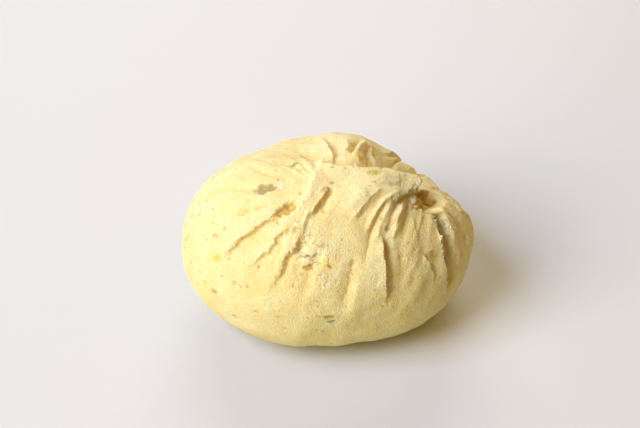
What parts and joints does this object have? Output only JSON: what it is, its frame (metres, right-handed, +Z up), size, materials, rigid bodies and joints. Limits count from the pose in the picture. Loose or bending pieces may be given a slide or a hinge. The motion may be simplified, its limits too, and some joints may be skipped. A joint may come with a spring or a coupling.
{
  "type": "kuri kinton",
  "caption": "Rounded lump of chestnut paste squeezed in a cloth, with pleats running out from two gathers and bits of chestnut in its skin, resting on a flat foot.",
  "frame": {"origin": "under the middle of the sweet, on the surface it rests on", "axes": "+X along the sweet's long side, towards the torn knot; +Y to the back; +Z up"},
  "size_m": [0.0472, 0.0376, 0.0297],
  "materials": {
    "chestnut_paste": "matt crumbly paste"
  },
  "bodies": {
    "root": {"kuri_kinton": "chestnut_paste"}
  },
  "joints": []
}
